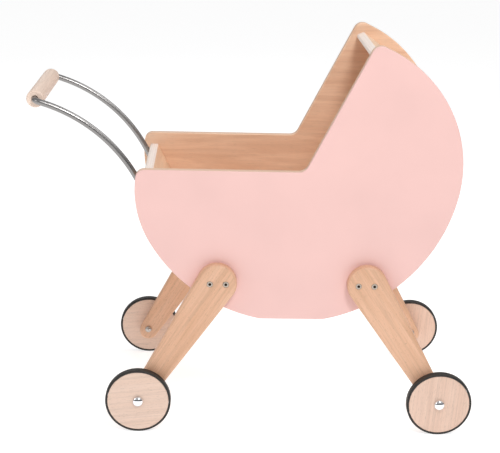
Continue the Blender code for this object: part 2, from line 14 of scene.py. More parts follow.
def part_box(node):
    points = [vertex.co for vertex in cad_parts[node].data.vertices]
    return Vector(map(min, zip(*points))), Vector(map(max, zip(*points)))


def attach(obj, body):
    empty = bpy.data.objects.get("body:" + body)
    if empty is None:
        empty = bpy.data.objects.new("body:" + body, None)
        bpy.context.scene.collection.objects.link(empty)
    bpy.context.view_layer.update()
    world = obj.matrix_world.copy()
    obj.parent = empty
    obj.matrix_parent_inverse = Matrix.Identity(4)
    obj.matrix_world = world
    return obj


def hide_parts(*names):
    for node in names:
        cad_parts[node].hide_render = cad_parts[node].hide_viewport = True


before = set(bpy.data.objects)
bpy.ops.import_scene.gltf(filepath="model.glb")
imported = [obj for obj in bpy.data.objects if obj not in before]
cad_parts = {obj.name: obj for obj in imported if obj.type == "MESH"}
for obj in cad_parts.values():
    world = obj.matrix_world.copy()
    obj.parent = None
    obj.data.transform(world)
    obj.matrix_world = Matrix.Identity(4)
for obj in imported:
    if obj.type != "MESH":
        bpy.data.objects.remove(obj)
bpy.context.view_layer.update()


# ---------------------------------------------------------------- places read from the frame
def centre(node):
    """Middle of a node's box."""
    low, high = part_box(node)
    return (low + high) / 2


def span(node, axis):
    """Lowest and highest value of a node along one axis."""
    low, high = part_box(node)
    return low[axis], high[axis]


def extent(node, axis):
    """Length of a node along one axis."""
    low, high = span(node, axis)
    return high - low


def inner_face(node, side):
    """Where a node's face towards the middle of the pram is, along Y."""
    low, high = span(node, Y)
    return low if side > 0 else high


def outer_face(node, side):
    """Where a node's face away from the middle of the pram is, along Y."""
    low, high = span(node, Y)
    return high if side > 0 else low


SIDES = {"right": -1, "left": 1}
ENDS = {"rear": -1, "front": 1}
X, Y, Z = 0, 1, 2

ROD_RADIUS = 0.004             # needed here to find the middle of a rod

body_foot_z = span("side_panel_right", Z)[0]

rear_axle = centre("tyre_rear_right")
front_axle = centre("tyre_front_right")
middle_x = (rear_axle.x + front_axle.x) / 2      # middle of the wheelbase
axle_reach = (front_axle.x - rear_axle.x) / 2
axle_z = front_axle.z
wheel_radius = extent("tyre_rear_right", X) / 2
disc_radius = extent("wheel_disc_rear_right", X) / 2
bolt_head_radius = extent("wheel_bolt_rear_right", X) / 2
washer_radius = extent("washer_rear_right", X) / 2
nut_radius = extent("cap_nut_rear_right", X) / 2
nut_height = extent("cap_nut_rear_right", Y)

inboard_screw = centre("leg_screw_front_right_1")
outboard_screw = centre("leg_screw_front_right_2")
leg_screw_spacing = outboard_screw.x - inboard_screw.x
leg_screw_x = (inboard_screw.x + outboard_screw.x) / 2 - middle_x
leg_screw_z = inboard_screw.z
leg_screw_length = extent("leg_screw_front_right_1", Y)
leg_screw_head_radius = extent("leg_screw_front_right_1", X) / 2

rod_y = span("handle_rod_left", Y)[1] - ROD_RADIUS
grip_radius = extent("grip", Z) / 2
grip_half_length = extent("grip", Y) / 2

# ---------------------------------------------------------------- dimensions
GAP = 0.0003                   # between pieces that touch
MERGE = 1e-6                   # points closer than this are one point

BODY_RADIUS = 0.2147           # side panel: a round body with a flat foot
BODY_CENTRE_Z = 0.3607
BELT_Z = 0.3480
TAIL_RADIUS = 0.1378
TAIL_BLEND_ANGLE = 210.4
HOOD_RADIUS = 0.1688
HOOD_BLEND_ANGLE = -11.1
HOOD_FRONT_X = 0.0124
HOOD_LEAN = 26.8
HOOD_TIP_Z = 0.5145
TIP_FILLET = 0.0126
BELT_FILLET = 0.013
TAIL_FILLET = 0.011
PANEL_EDGE_RADIUS = 0.0012

LEG_HEAD_RADIUS = 0.0260
LEG_FOOT_RADIUS = 0.0130
LEG_HEAD_OFFSET = 0.0013
LEG_FOOT_BEYOND_AXLE = 0.003
LEG_FOOT_INBOARD = 0.002
LEG_EDGE_RADIUS = 0.0035
LEG_SCREW_HEAD_DEPTH = 0.0024
LEG_SCREW_RADIUS = 0.0024
LEG_SCREW_EDGE_RADIUS = 0.0003
COUNTERSINK_RADIUS = 0.0042
COUNTERSINK_RIM = 0.0002       # straight part of the hole's mouth
COUNTERSINK_DEPTH = 0.0030
SCREW_HOLE_RADIUS = 0.003
SCREW_HOLE_DEPTH = 0.008
CUTTER_RISE = 0.002            # of a cutter above the face that it cuts
HEX_SOCKET_RADIUS = 0.0021
HEX_SOCKET_DEPTH = 0.0018
HEX_SOCKET_TURN = 17           # degrees from one screw to the next

TYRE_EDGE_RADIUS = 0.0010
DISC_EDGE_RADIUS = 0.0006
BOLT_RADIUS = 0.003
BOLT_HOLE_RADIUS = 0.0034
BOLT_HEAD_HEIGHT = 0.0052
BOLT_HEAD_RIM = 0.0010
WASHER_EDGE_RADIUS = 0.0003
NUT_RIM = 0.0012
NUT_BORE_DEPTH = 0.0029

END_BOARD_LEAN = 27.0
END_BOARD_TOP_X = -0.1979      # from the middle of the wheelbase
END_BOARD_DROP = 0.016
ROD_END_BEVEL = 0.0007
ROD_BEND_RADIUS = 0.2038
ROD_SWEEP = 49.3
ROD_CONTACT = 0.0063
ROD_TAIL = 0.070
ROD_CORNER_RADIUS = 0.009
ROD_CORNER_STEPS = 12
ROD_CORNER_ROOM = 1.2          # corner radii from the corner where the long curve stops
ROD_FROM_BORE_END = 0.001
ROD_SCREW_FROM_END = (0.012, 0.048)
ROD_SCREW_HEAD_RADIUS = 0.0033
ROD_SCREW_HEAD_HEIGHT = 0.0016
ROD_SCREW_RADIUS = 0.0015
ROD_SCREW_LENGTH = 0.018
ROD_SCREW_POINT = 0.002
ROD_SCREW_RIM = 0.0004
ROD_SCREW_SUNK = 0.0006        # of the head into the rod
CROSS_SLOT = (0.0034, 0.0008, 0.0018)      # length, width and twice the depth
CROSS_TURN = 20                # degrees
GRIP_EDGE_RADIUS = 0.0025
GRIP_BORE_DEPTH = 0.012
GRIP_BORE_GAP = 0.0004         # round the rod
GRIP_BORE_BEVEL = 0.0004
GRIP_RINGS = (0.6, 0.3)        # shares of the half length, for an even sheen

BOARD_EDGE_RADIUS = 0.0006
DOWEL_HOLE_STEP = 0.003        # an edge shorter than this belongs to a round hole
SHARP_ANGLE = 35.0             # degrees; a larger fold stays a sharp edge
ARC_STEP = 1.5                 # degrees in a large curve
FILLET_STEP = 6.0              # degrees in a small curve
WHEEL_STEPS = 128              # facets round a wheel
ROUND_STEPS = 64               # round a bolt, a washer and the grip
NUT_STEPS = 48
SCREW_STEPS = 40
HOLE_STEPS = 32


# ---------------------------------------------------------------- plane geometry (x, z)
def polar(degrees):
    """Unit vector at an angle from +X towards +Z."""
    return Vector((math.cos(math.radians(degrees)), math.sin(math.radians(degrees))))


def angle_of(vector):
    """Angle of a plane vector from +X, in degrees."""
    return math.degrees(math.atan2(vector.y, vector.x))


def in_space(point, y=0.0):
    """A plane point at a distance along Y."""
    return Vector((point.x, y, point.y))


def arc(middle, radius, start, end, step=ARC_STEP):
    """Points along an arc, both ends included."""
    count = max(2, math.ceil(abs(end - start) / step))
    return [middle + radius * polar(start + (end - start) * i / count) for i in range(count + 1)]


def fillet(before, corner, after, radius):
    """Points of the arc that rounds a corner between two straight lines."""
    to_before = (before - corner).normalized()
    to_after = (after - corner).normalized()
    half_angle = to_before.angle(to_after) / 2
    middle = corner + (to_before + to_after).normalized() * radius / math.sin(half_angle)
    first = corner + to_before * radius / math.tan(half_angle)
    last = corner + to_after * radius / math.tan(half_angle)
    start = angle_of(first - middle)
    turn = (angle_of(last - middle) - start + 180) % 360 - 180
    return arc(middle, radius, start, start + turn, FILLET_STEP)


def inset(outline, distance):
    """An anticlockwise outline moved inwards by a distance."""
    moved = []
    for i, here in enumerate(outline):
        along_in = (here - outline[i - 1]).normalized()
        along_out = (outline[(i + 1) % len(outline)] - here).normalized()
        along = (along_in + along_out).normalized()
        inward = Vector((-along.y, along.x))
        moved.append(here + inward * distance / along.dot(along_in))
    return moved


def panel_outline():
    """The side panel's edge, anticlockwise from the right end of its foot."""
    body = Vector((middle_x, BODY_CENTRE_Z))
    hood = body + (BODY_RADIUS - HOOD_RADIUS) * polar(HOOD_BLEND_ANGLE)
    tail = body + (BODY_RADIUS - TAIL_RADIUS) * polar(TAIL_BLEND_ANGLE)
    front_edge = polar(90 - HOOD_LEAN)
    belt_corner = Vector((middle_x + HOOD_FRONT_X, BELT_Z))
    tip_corner = belt_corner + front_edge * (HOOD_TIP_Z - BELT_Z) / front_edge.y
    foot_drop = math.degrees(math.asin((BODY_CENTRE_Z - body_foot_z) / BODY_RADIUS))
    to_tip = tip_corner - hood
    rim_angle = angle_of(to_tip) - math.degrees(math.acos(HOOD_RADIUS / to_tip.length))
    rim_end = hood + HOOD_RADIUS * polar(rim_angle)
    tail_rise = BELT_Z - TAIL_FILLET - tail.y
    tail_run = math.sqrt((TAIL_RADIUS - TAIL_FILLET) ** 2 - tail_rise ** 2)
    tail_corner = tail + Vector((-tail_run, tail_rise))
    tail_start = angle_of(tail_corner - tail)
    belt_end = Vector((tail_corner.x, BELT_Z))

    outline = arc(body, BODY_RADIUS, -foot_drop, HOOD_BLEND_ANGLE)
    outline += arc(hood, HOOD_RADIUS, HOOD_BLEND_ANGLE, rim_angle)[1:]
    outline += fillet(rim_end, tip_corner, belt_corner, TIP_FILLET)
    outline += fillet(tip_corner, belt_corner, belt_end, BELT_FILLET)
    outline += arc(tail_corner, TAIL_FILLET, 90, tail_start, FILLET_STEP)
    outline += arc(tail, TAIL_RADIUS, tail_start, TAIL_BLEND_ANGLE)[1:]
    outline += arc(body, BODY_RADIUS, TAIL_BLEND_ANGLE, 180 + foot_drop)[1:]
    return outline


def leg_outline(end):
    """A tapered leg, round at the head and at the foot, anticlockwise."""
    head = Vector((middle_x + end * (leg_screw_x + LEG_HEAD_OFFSET), leg_screw_z))
    axle = Vector((middle_x + end * axle_reach, axle_z))
    down_leg = (axle - head).normalized()
    inboard = -end * Vector((-down_leg.y, down_leg.x))
    foot = axle + down_leg * LEG_FOOT_BEYOND_AXLE + inboard * LEG_FOOT_INBOARD
    along = foot - head
    taper = math.degrees(math.asin((LEG_HEAD_RADIUS - LEG_FOOT_RADIUS) / along.length))
    lean = angle_of(along)
    outline = arc(head, LEG_HEAD_RADIUS, lean + 90 - taper, lean + 270 + taper, FILLET_STEP)
    outline += arc(foot, LEG_FOOT_RADIUS, lean - 90 + taper, lean + 90 - taper, FILLET_STEP)
    return outline


# ---------------------------------------------------------------- materials
def principled(name, roughness, metallic=0.0):
    """A new Principled material: the material, its tree and its shader."""
    material = bpy.data.materials.new(name)
    material.use_nodes = True
    tree = material.node_tree
    shader = tree.nodes["Principled BSDF"]
    shader.inputs["Roughness"].default_value = roughness
    shader.inputs["Metallic"].default_value = metallic
    return material, tree, shader


def object_coordinates(tree, turn=(0, 0, 0), scale=(1, 1, 1)):
    """The object's own coordinates, turned and then stretched."""
    source = tree.nodes.new("ShaderNodeTexCoord")
    mapping = tree.nodes.new("ShaderNodeMapping")
    mapping.inputs["Rotation"].default_value = turn
    tree.links.new(source.outputs["Object"], mapping.inputs["Vector"])
    stretch = tree.nodes.new("ShaderNodeMapping")
    stretch.inputs["Scale"].default_value = scale
    tree.links.new(mapping.outputs["Vector"], stretch.inputs["Vector"])
    return stretch.outputs["Vector"]


def noise(tree, vector, scale=1.0, detail=4.0, roughness=0.5, distortion=0.0):
    """A noise texture's value."""
    texture = tree.nodes.new("ShaderNodeTexNoise")
    texture.inputs["Scale"].default_value = scale
    texture.inputs["Detail"].default_value = detail
    texture.inputs["Roughness"].default_value = roughness
    texture.inputs["Distortion"].default_value = distortion
    tree.links.new(vector, texture.inputs["Vector"])
    return texture.outputs["Fac"]


def ramp(tree, value, stops):
    """A colour ramp: stops are (position, colour)."""
    node = tree.nodes.new("ShaderNodeValToRGB")
    elements = node.color_ramp.elements
    while len(elements) < len(stops):
        elements.new(1.0)
    for element, (position, colour) in zip(elements, stops):
        element.position = position
        element.color = (*colour, 1.0)
    tree.links.new(value, node.inputs["Fac"])
    return node.outputs["Color"]


def grey_ramp(tree, value, low, high, dark=0.0, light=1.0):
    """A value stretched between two positions, from dark to light grey."""
    return ramp(tree, value, [(low, (dark,) * 3), (high, (light,) * 3)])


def mixed(tree, blend, factor, first, second):
    """Two colours mixed. The factor and the second colour may be sockets or plain values."""
    node = tree.nodes.new("ShaderNodeMix")
    node.data_type = "RGBA"
    node.blend_type = blend
    if isinstance(factor, float):
        node.inputs["Factor"].default_value = factor
    else:
        tree.links.new(factor, node.inputs["Factor"])
    tree.links.new(first, node.inputs["A"])
    if isinstance(second, tuple):
        node.inputs["B"].default_value = (*second, 1.0)
    else:
        tree.links.new(second, node.inputs["B"])
    return node.outputs["Result"]


def bump(tree, shader, height, strength, distance):
    """Small relief on the shader's normal."""
    node = tree.nodes.new("ShaderNodeBump")
    node.inputs["Strength"].default_value = strength
    node.inputs["Distance"].default_value = distance
    tree.links.new(height, node.inputs["Height"])
    tree.links.new(node.outputs["Normal"], shader.inputs["Normal"])


def wood(name, light, dark, turn, figure=(7.0, 75.0, 75.0), flecks=0.0, roughness=0.5,
         contrast=1.0, lines_share=0.8, wander=0.7):
    """Varnished wood with its grain along the turned X: figure, pores, flecks and tone."""
    material, tree, shader = principled(name, roughness)
    figure_value = noise(tree, object_coordinates(tree, turn, figure), 1.0, 5.0, 0.55, wander)
    half = 0.5 - 0.18 / contrast
    colour = ramp(tree, figure_value, [(half, dark), (1.0 - half, light)])
    tone = noise(tree, object_coordinates(tree, turn, (3.0, 14.0, 14.0)), 1.0, 2.0)
    colour = mixed(tree, "MULTIPLY", 1.0, colour, grey_ramp(tree, tone, 0.3, 0.7, 0.93, 1.0))
    lines = noise(tree, object_coordinates(tree, turn, (9.0, 420.0, 420.0)), 1.0, 3.0, 0.6, 0.4)
    colour = mixed(tree, "MULTIPLY", lines_share * contrast, colour,
                   grey_ramp(tree, lines, 0.35, 0.55, 0.84, 1.0))
    pores = noise(tree, object_coordinates(tree, turn, (110.0, 2600.0, 2600.0)), 1.0, 2.0)
    colour = mixed(tree, "MULTIPLY", 0.45, colour, grey_ramp(tree, pores, 0.30, 0.42, 0.72, 1.0))
    if flecks > 0:
        dashes = noise(tree, object_coordinates(tree, turn, (260.0, 1500.0, 1500.0)), 1.0, 0.0)
        colour = mixed(tree, "MULTIPLY", flecks, colour,
                       grey_ramp(tree, dashes, 0.70, 0.76, 1.0, 0.62))
    tree.links.new(colour, shader.inputs["Base Color"])
    tree.links.new(grey_ramp(tree, pores, 0.2, 0.7, roughness + 0.1, roughness - 0.04),
                   shader.inputs["Roughness"])
    bump(tree, shader, pores, 0.12, 0.0002)
    return material


def plywood_edge(name, light, dark, turn, ply=0.0013):
    """The sawn and varnished edge of plywood: plies stacked along the turned Z."""
    material, tree, shader = principled(name, 0.5)
    wander = noise(tree, object_coordinates(tree, turn, (30.0, 30.0, 30.0)), 1.0, 2.0)
    separate = tree.nodes.new("ShaderNodeSeparateXYZ")
    tree.links.new(object_coordinates(tree, turn), separate.inputs["Vector"])
    depth = tree.nodes.new("ShaderNodeMath")
    depth.operation = "MULTIPLY_ADD"
    depth.inputs[1].default_value = math.pi / ply
    tree.links.new(separate.outputs["Z"], depth.inputs[0])
    tree.links.new(wander, depth.inputs[2])
    wave = tree.nodes.new("ShaderNodeMath")
    wave.operation = "SINE"
    tree.links.new(depth.outputs["Value"], wave.inputs[0])
    half = tree.nodes.new("ShaderNodeMath")
    half.operation = "MULTIPLY_ADD"
    half.inputs[1].default_value = 0.5
    half.inputs[2].default_value = 0.5
    tree.links.new(wave.outputs["Value"], half.inputs[0])
    colour = ramp(tree, half.outputs["Value"], [(0.38, dark), (0.62, light)])
    fibres = noise(tree, object_coordinates(tree, turn, (160.0, 160.0, 1200.0)), 1.0, 3.0)
    colour = mixed(tree, "MULTIPLY", 0.6, colour, grey_ramp(tree, fibres, 0.3, 0.6, 0.84, 1.0))
    tree.links.new(colour, shader.inputs["Base Color"])
    bump(tree, shader, fibres, 0.15, 0.0002)
    return material


def paint(name, colour):
    """Satin paint rolled on plywood: a faint grain below it and a fine orange peel."""
    material, tree, shader = principled(name, 0.38)
    cloud = noise(tree, object_coordinates(tree, (0, 0, 0), (9.0, 9.0, 9.0)), 1.0, 3.0)
    paler = tuple(min(1.0, 1.03 * channel) for channel in colour)
    deeper = tuple(0.97 * channel for channel in colour)
    shade = ramp(tree, cloud, [(0.3, deeper), (0.7, paler)])
    tree.links.new(shade, shader.inputs["Base Color"])
    peel = noise(tree, object_coordinates(tree, (0, 0, 0), (700.0, 700.0, 900.0)), 1.0, 2.0)
    grain = noise(tree, object_coordinates(tree, (0, 0, 0), (12.0, 400.0, 400.0)), 1.0, 2.0)
    relief = mixed(tree, "MIX", 0.45, peel, grain)
    bump(tree, shader, relief, 0.10, 0.0003)
    tree.links.new(grey_ramp(tree, peel, 0.3, 0.7, 0.34, 0.44), shader.inputs["Roughness"])
    return material


def rubber(name):
    """Matt black rubber with a little dust."""
    material, tree, shader = principled(name, 0.55)
    dust = noise(tree, object_coordinates(tree, (0, 0, 0), (90.0, 90.0, 90.0)), 1.0, 4.0)
    colour = ramp(tree, dust, [(0.35, (0.012, 0.010, 0.009)), (0.75, (0.028, 0.024, 0.021))])
    tree.links.new(colour, shader.inputs["Base Color"])
    tree.links.new(grey_ramp(tree, dust, 0.3, 0.7, 0.48, 0.62), shader.inputs["Roughness"])
    bump(tree, shader, dust, 0.08, 0.0003)
    return material


def metal(name, colour, roughness, scale=400.0, relief=0.03, detail=3.0):
    """Metal with small marks and an uneven sheen."""
    material, tree, shader = principled(name, roughness, metallic=1.0)
    marks = noise(tree, object_coordinates(tree), scale, detail)
    paler = tuple(min(1.0, 1.06 * channel) for channel in colour)
    deeper = tuple(0.94 * channel for channel in colour)
    shade = ramp(tree, marks, [(0.3, deeper), (0.7, paler)])
    tree.links.new(shade, shader.inputs["Base Color"])
    tree.links.new(grey_ramp(tree, marks, 0.3, 0.7, roughness * 0.85, roughness * 1.15),
                   shader.inputs["Roughness"])
    if relief:
        bump(tree, shader, marks, relief, 0.0001)
    return material


ALONG_X = (0.0, 0.0, 0.0)
ALONG_Y = (0.0, 0.0, math.radians(-90))
Z_TO_Y = (math.radians(90), 0.0, 0.0)

PINK = paint("pink_paint", (0.855, 0.553, 0.515))
BIRCH_INSIDE = wood("birch_inside", (0.97, 0.67, 0.475), (0.83, 0.52, 0.345), ALONG_X,
                    (6.0, 52.0, 52.0), lines_share=0.3, wander=1.6)
BIRCH_BOARD = wood("birch_board", (0.95, 0.69, 0.49), (0.85, 0.57, 0.38), ALONG_Y,
                   (6.0, 52.0, 52.0), lines_share=0.4, wander=1.4)
PANEL_EDGE = plywood_edge("plywood_edge", (0.86, 0.62, 0.465), (0.70, 0.475, 0.34), Z_TO_Y)
WHEEL_GRAIN_ACROSS = wood("pale_beech_across", (0.87, 0.66, 0.545), (0.81, 0.59, 0.47),
                          (0.0, math.radians(6), 0.0), flecks=0.35, contrast=0.8)
WHEEL_GRAIN_UP = wood("pale_beech_up", (0.84, 0.61, 0.49), (0.78, 0.54, 0.42),
                      (0.0, math.radians(86), 0.0), flecks=0.35, contrast=0.8)
GRIP_WOOD = wood("pale_beech_grip", (0.93, 0.74, 0.62), (0.87, 0.67, 0.55), ALONG_Y,
                 flecks=0.3, contrast=0.8)
DOWEL_WOOD = wood("dowel_beech", (0.80, 0.57, 0.40), (0.70, 0.46, 0.30), ALONG_Y)
RUBBER = rubber("black_rubber")
CHROME = metal("chrome", (0.84, 0.85, 0.87), 0.06, relief=0.01)
STEEL = metal("satin_steel", (0.30, 0.29, 0.285), 0.32, scale=14.0, relief=0.0, detail=0.0)
BRIGHT_STEEL = metal("bright_steel", (0.62, 0.60, 0.58), 0.24)
SCREW_STEEL = metal("screw_steel", (0.52, 0.45, 0.385), 0.38)
NUT_STEEL = metal("nut_steel", (0.52, 0.48, 0.45), 0.30)
# Near-black steel on the walls of the screw sockets and recesses: painted shade for the shade
# inside these hollows.
RECESS_PAINTED_SHADE = metal("recess_painted_shade", (0.055, 0.042, 0.034), 0.6)


def leg_wood(end):
    """Beech with its grain along one pair of legs."""
    along = angle_of(Vector((end * (axle_reach - leg_screw_x), axle_z - leg_screw_z)))
    name = "beech_leg_front" if end > 0 else "beech_leg_rear"
    return wood(name, (0.84, 0.52, 0.35), (0.72, 0.41, 0.25), (0.0, math.radians(along), 0.0),
                (6.0, 70.0, 70.0), flecks=0.5)


# ---------------------------------------------------------------- building pieces
def finished(name, bm, materials):
    """Turn a bmesh into a smooth-shaded object with sharp edges kept."""
    bmesh.ops.recalc_face_normals(bm, faces=bm.faces)
    mesh = bpy.data.meshes.new(name)
    bm.to_mesh(mesh)
    bm.free()
    for material in materials:
        mesh.materials.append(material)
    mesh.shade_smooth()
    mesh.set_sharp_from_angle(angle=math.radians(SHARP_ANGLE))
    piece = bpy.data.objects.new(name, mesh)
    bpy.context.scene.collection.objects.link(piece)
    return piece


def place(piece, node, body):
    """Let a piece stand for a CAD node and move with its body."""
    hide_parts(node)
    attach(piece, body)
    return piece


def rounded_plate(name, outline, low, high, radius, materials, segments=4):
    """A plate between two values of y, with rounded edges.

    The materials are those of the low face, the rim and the high face.
    """
    rings = []
    for i in range(segments + 1):
        turn = math.radians(90 * i / segments)
        rings.append((radius * (1 - math.sin(turn)), low + radius * (1 - math.cos(turn))))
    rings += [(shrink, low + high - y) for shrink, y in reversed(rings)]
    bm = bmesh.new()
    loops = []
    for shrink, y in rings:
        points = inset(outline, shrink) if shrink > 1e-9 else outline
        loops.append([bm.verts.new(in_space(point, y)) for point in points])
    bm.faces.new(loops[0]).material_index = 0
    bm.faces.new(loops[-1]).material_index = 2
    count = len(outline)
    for i, (near, far) in enumerate(zip(loops, loops[1:])):
        index = 0 if i < segments else 2 if i > segments else 1
        for j in range(count):
            k = (j + 1) % count
            bm.faces.new((near[j], near[k], far[k], far[j])).material_index = index
    piece = finished(name, bm, materials)
    for edge in piece.data.edges:
        ends = [piece.data.vertices[v].co.y for v in edge.vertices]
        if max(ends) < low + MERGE or min(ends) > high - MERGE:
            edge.use_edge_sharp = True
    return piece


def turned_mesh(profile, steps, closed=False):
    """A bmesh of (radius, height) points spun about Z."""
    bm = bmesh.new()
    verts = [bm.verts.new((radius, 0, height)) for radius, height in profile]
    edges = [bm.edges.new(pair) for pair in zip(verts, verts[1:])]
    if closed:
        edges.append(bm.edges.new((verts[-1], verts[0])))
    bmesh.ops.spin(bm, geom=verts + edges, cent=(0, 0, 0), axis=(0, 0, 1),
                   angle=math.radians(360), steps=steps, use_merge=True)
    bmesh.ops.remove_doubles(bm, verts=bm.verts, dist=MERGE)
    return bm


def facing_y(at, side):
    """Placement that turns local Z outwards on one side."""
    return Matrix.Translation(at) @ Matrix.Rotation(math.radians(-90 * side), 4, "X")


def turned(name, profile, steps, material, placement, closed=False):
    """A turned piece with its placement in its mesh."""
    bm = turned_mesh(profile, steps, closed)
    bmesh.ops.transform(bm, matrix=placement, verts=bm.verts)
    return finished(name, bm, [material])


def corner_arc(middle_radius, middle_height, radius, start, end, count=4):
    """Profile points of a rounded corner, by angle from the radius axis."""
    points = []
    for i in range(count + 1):
        turn = math.radians(start + (end - start) * i / count)
        points.append((middle_radius + radius * math.cos(turn),
                       middle_height + radius * math.sin(turn)))
    return points


def dome(radius, base, top, count=10):
    """Profile of a dome, from its crown down to its rim."""
    points = []
    for i in range(count + 1):
        turn = math.radians(90 * i / count)
        points.append((radius * math.sin(turn), base + (top - base) * math.cos(turn)))
    return points


def cut(piece, cutters):
    """Cut shapes out of a piece, and apply the cuts to its mesh."""
    for cutter in cutters:
        modifier = piece.modifiers.new("cut", "BOOLEAN")
        modifier.operation = "DIFFERENCE"
        modifier.object = cutter
        modifier.material_mode = "TRANSFER"
    bpy.context.view_layer.update()
    evaluated = piece.evaluated_get(bpy.context.evaluated_depsgraph_get())
    mesh = bpy.data.meshes.new_from_object(evaluated)
    piece.modifiers.clear()
    piece.data = mesh
    mesh.shade_smooth()
    mesh.set_sharp_from_angle(angle=math.radians(SHARP_ANGLE))
    for cutter in cutters:
        bpy.data.objects.remove(cutter, do_unlink=True)
    return piece


# ---------------------------------------------------------------- body
def make_panels():
    """The side panels: paint outside, birch inside, bare plywood on the edge."""
    outline = panel_outline()
    for side_name, side in SIDES.items():
        node = "side_panel_" + side_name
        low, high = span(node, Y)
        faces = [PINK, PANEL_EDGE, BIRCH_INSIDE] if side < 0 else [BIRCH_INSIDE, PANEL_EDGE, PINK]
        panel = rounded_plate("panel_" + side_name, outline, low, high, PANEL_EDGE_RADIUS, faces)
        place(panel, node, "pram")


def outer_ridges(bm):
    """A board's sharp outer edges, without those of its dowel holes."""
    end_y = max(vert.co.y for vert in bm.verts) - 10 * MERGE
    return [edge for edge in bm.edges
            if edge.calc_face_angle(0) > math.radians(SHARP_ANGLE)
            and all(abs(vert.co.y) > end_y for vert in edge.verts)
            and edge.calc_length() > DOWEL_HOLE_STEP]


def make_boards():
    """The boards between the panels, with their sharp outer edges eased and their edges painted
    near-white: pale birch plus a painted highlight.
    """
    for node in ("end_board", "floor_board", "hood_lower_board", "hood_back_board",
                 "hood_upper_board", "hood_top_board"):
        bm = bmesh.new()
        bm.from_mesh(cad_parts[node].data)
        bmesh.ops.remove_doubles(bm, verts=bm.verts, dist=MERGE)
        bmesh.ops.dissolve_limit(bm, angle_limit=math.radians(1), verts=bm.verts, edges=bm.edges)
        widest = max(bm.faces, key=lambda face: face.calc_area())
        thickness_axis = widest.normal.copy()
        for face in bm.faces:
            broad = abs(face.normal.dot(thickness_axis)) > 0.98
            at_panel = abs(face.normal.y) > 0.5
            face.material_index = 0 if broad or at_panel else 1
        bmesh.ops.bevel(bm, geom=outer_ridges(bm), offset=BOARD_EDGE_RADIUS, segments=2,
                        profile=0.5, affect="EDGES", material=-1)
        lean = angle_of(Vector((thickness_axis.x, thickness_axis.z)))
        turn = (0.0, math.radians(lean - 90), 0.0)
        # Every board edge gets this near-white plywood: its own pale birch colour plus a painted
        # highlight of the top light that falls on the up-facing edges.
        edge_wood_painted_highlight = plywood_edge("edge_" + node, (0.97, 0.86, 0.79), (0.93, 0.80, 0.72), turn)
        board = finished("board_" + node, bm, [BIRCH_BOARD, edge_wood_painted_highlight])
        place(board, node, "pram")


def keep_dowels():
    """The dowels keep their CAD shape inside the boards, and get their own wood."""
    for name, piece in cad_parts.items():
        if name.startswith("dowel_"):
            for slot in piece.material_slots:
                slot.material = DOWEL_WOOD


# ---------------------------------------------------------------- legs and screws
def screw_positions(end, side_name):
    """Centres of a leg's two screw heads, on its outer face."""
    end_name = "front" if end > 0 else "rear"
    face = outer_face(f"leg_{end_name}_{side_name}", SIDES[side_name])
    return [Vector((middle_x + end * leg_screw_x + shift, face, leg_screw_z))
            for shift in (-leg_screw_spacing / 2, leg_screw_spacing / 2)]


def make_legs():
    """Tapered legs with rounded edges and countersunk screw holes."""
    countersink = [(0, CUTTER_RISE), (COUNTERSINK_RADIUS, CUTTER_RISE),
                   (COUNTERSINK_RADIUS, -COUNTERSINK_RIM), (SCREW_HOLE_RADIUS, -COUNTERSINK_DEPTH),
                   (SCREW_HOLE_RADIUS, -SCREW_HOLE_DEPTH), (0, -SCREW_HOLE_DEPTH)]
    for end_name, end in ENDS.items():
        outline = leg_outline(end)
        beech = leg_wood(end)
        for side_name, side in SIDES.items():
            node = f"leg_{end_name}_{side_name}"
            low, high = span(node, Y)
            leg = rounded_plate("beech_" + node, outline, low, high, LEG_EDGE_RADIUS,
                                [beech] * 3, segments=6)
            cutters = [turned("cutter", countersink, HOLE_STEPS, beech, facing_y(at, side))
                       for at in screw_positions(end, side_name)]
            place(cut(leg, cutters), node, "pram")


def hex_socket(placement, spin):
    """The cutter of a screw's hexagonal socket, turned by some degrees. It leaves the socket's
    walls near-black, a painted shade.
    """
    radius, depth = HEX_SOCKET_RADIUS, HEX_SOCKET_DEPTH
    profile = [(0, depth), (radius, depth), (radius, -depth), (0, -depth)]
    turn = placement @ Matrix.Rotation(math.radians(spin), 4, "Z")
    return turned("cutter", profile, 6, RECESS_PAINTED_SHADE, turn)


def make_leg_screws():
    """Countersunk screw heads with a hex socket, flush with the leg."""
    e = LEG_SCREW_EDGE_RADIUS
    profile = [(0, 0)] + corner_arc(leg_screw_head_radius - e, -e, e, 90, 0)
    profile += [(LEG_SCREW_RADIUS, -LEG_SCREW_HEAD_DEPTH),
                (LEG_SCREW_RADIUS, -leg_screw_length), (0, -leg_screw_length)]
    for end_name, end in ENDS.items():
        for side_name, side in SIDES.items():
            for i, at in enumerate(screw_positions(end, side_name)):
                node = f"leg_screw_{end_name}_{side_name}_{i + 1}"
                placement = facing_y(at, side)
                screw = turned("steel_" + node, profile, SCREW_STEPS, SCREW_STEEL, placement)
                place(cut(screw, [hex_socket(placement, HEX_SOCKET_TURN * i)]), node,
                      "pram")


# ---------------------------------------------------------------- wheels
def ring_profile(inner, outer, width, edge, belt=()):
    """A ring with rounded outer edges; belt gives points between them, as shares of the width."""
    middle = outer - edge
    return ([(inner, width)] + corner_arc(middle, width - edge, edge, 90, 0)
            + [(outer, width * share) for share in belt]
            + corner_arc(middle, edge, edge, 0, -90) + [(inner, 0)])


